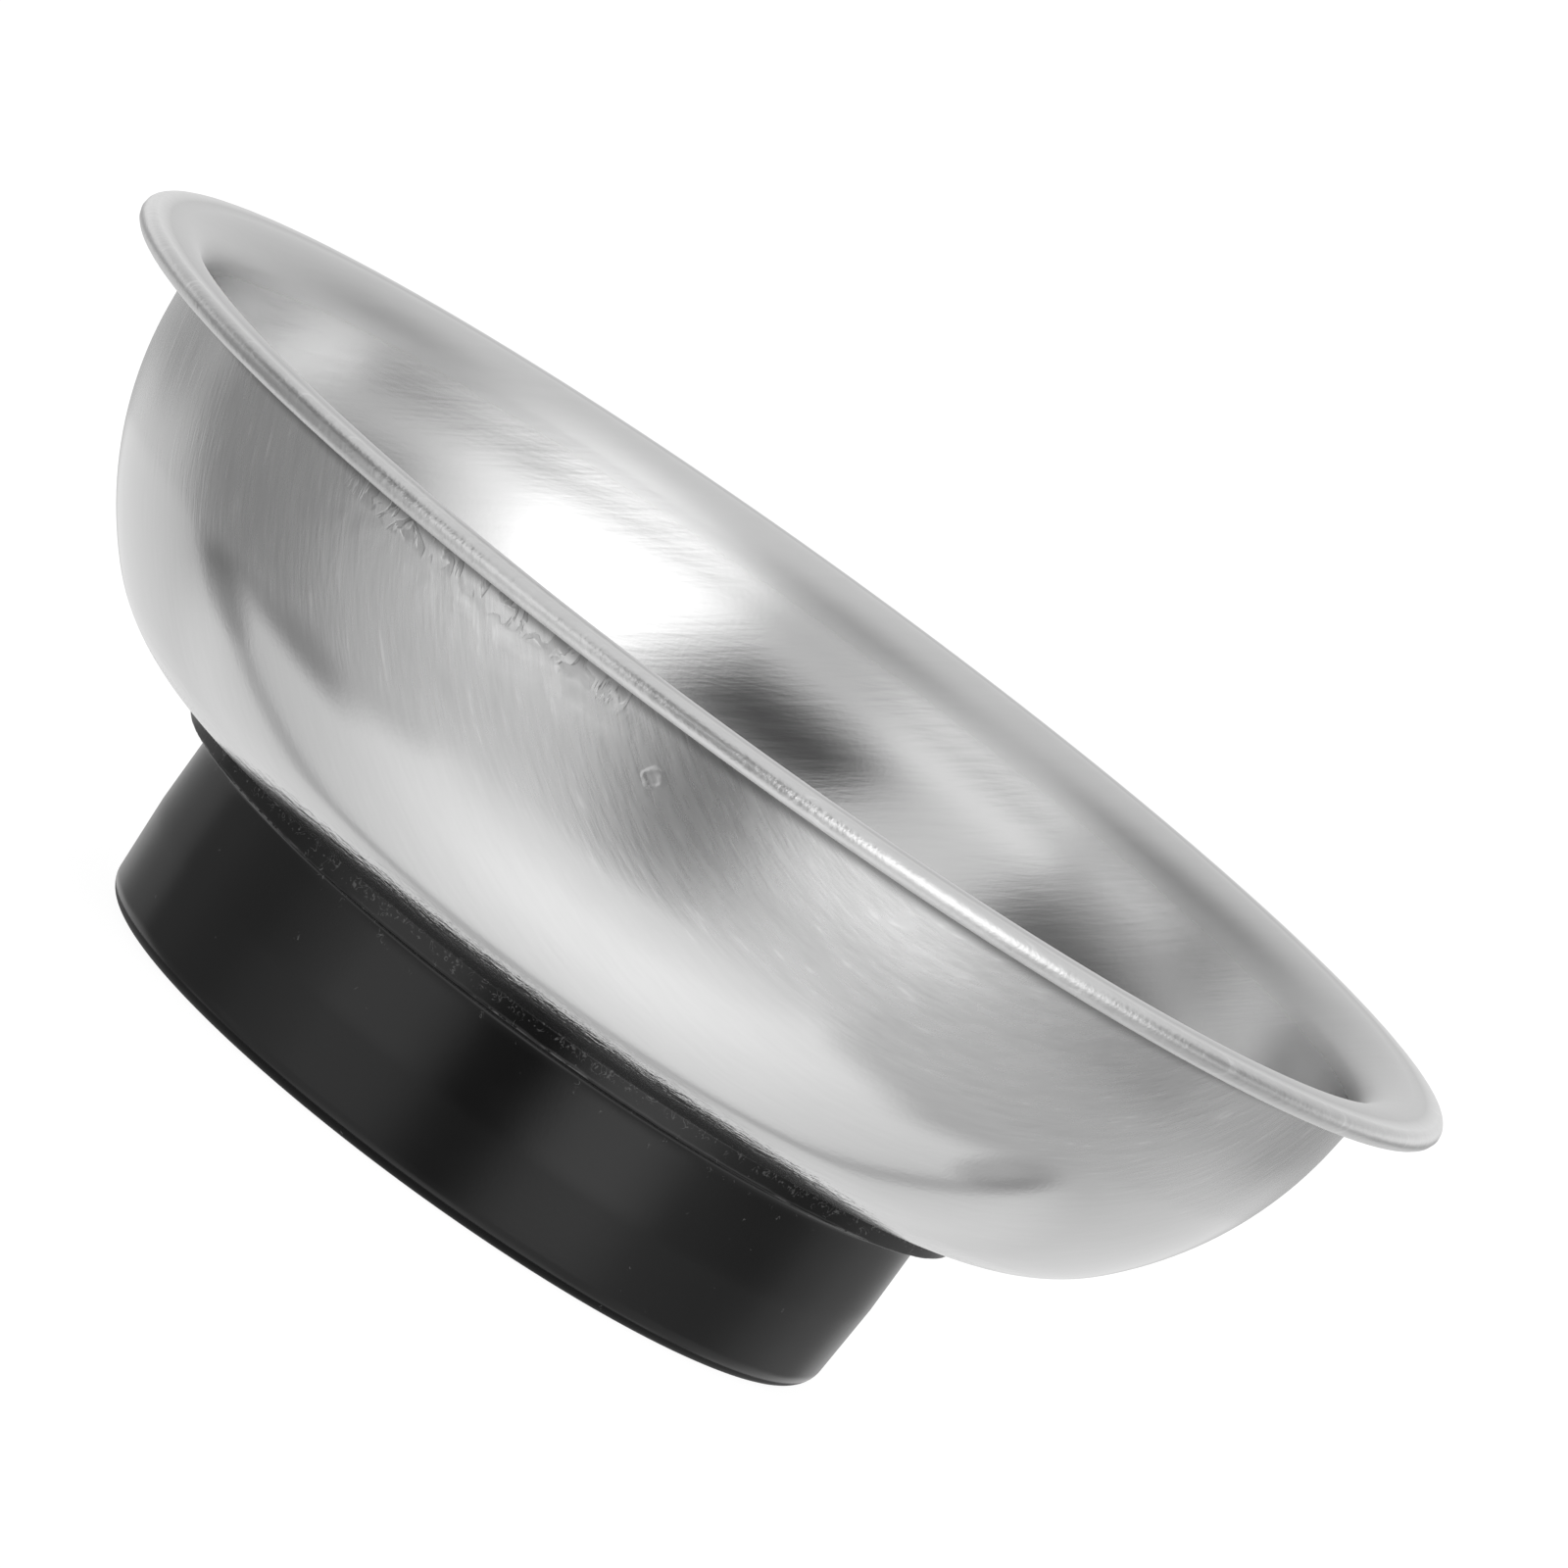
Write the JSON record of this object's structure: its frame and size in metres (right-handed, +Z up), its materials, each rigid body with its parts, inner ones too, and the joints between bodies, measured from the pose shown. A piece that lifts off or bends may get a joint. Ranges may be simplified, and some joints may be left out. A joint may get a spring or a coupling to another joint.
{
  "type": "magnetic parts dish",
  "caption": "Shallow round pressed-steel dish with a rolled flange, clamped by a central screw to a rubber-covered ring magnet that grips steel and holds loose fasteners.",
  "frame": {"origin": "centre of the underside, on the surface that the dish stands on", "axes": "+Z up along the axis of the dish; X and Y are free, because the dish is round"},
  "size_m": [0.108, 0.108, 0.0403],
  "materials": {
    "brushed_stainless": "brushed stainless steel",
    "black_rubber": "satin moulded black rubber",
    "ferrite": "matt grey ferrite",
    "zinc_steel": "bright zinc on steel",
    "screw_steel": "bright nickel on steel",
    "fibre": "red vulcanised fibre",
    "nylon": "natural nylon"
  },
  "bodies": {
    "root": {"bowl": "brushed_stainless", "base_cover": "black_rubber", "ring_magnet": "ferrite", "pole_plate": "zinc_steel", "fibre_gasket": "fibre", "centre_bush": "nylon", "clamp_screw": "screw_steel", "flat_washer": "zinc_steel", "hex_nut": "zinc_steel"}
  },
  "joints": []
}
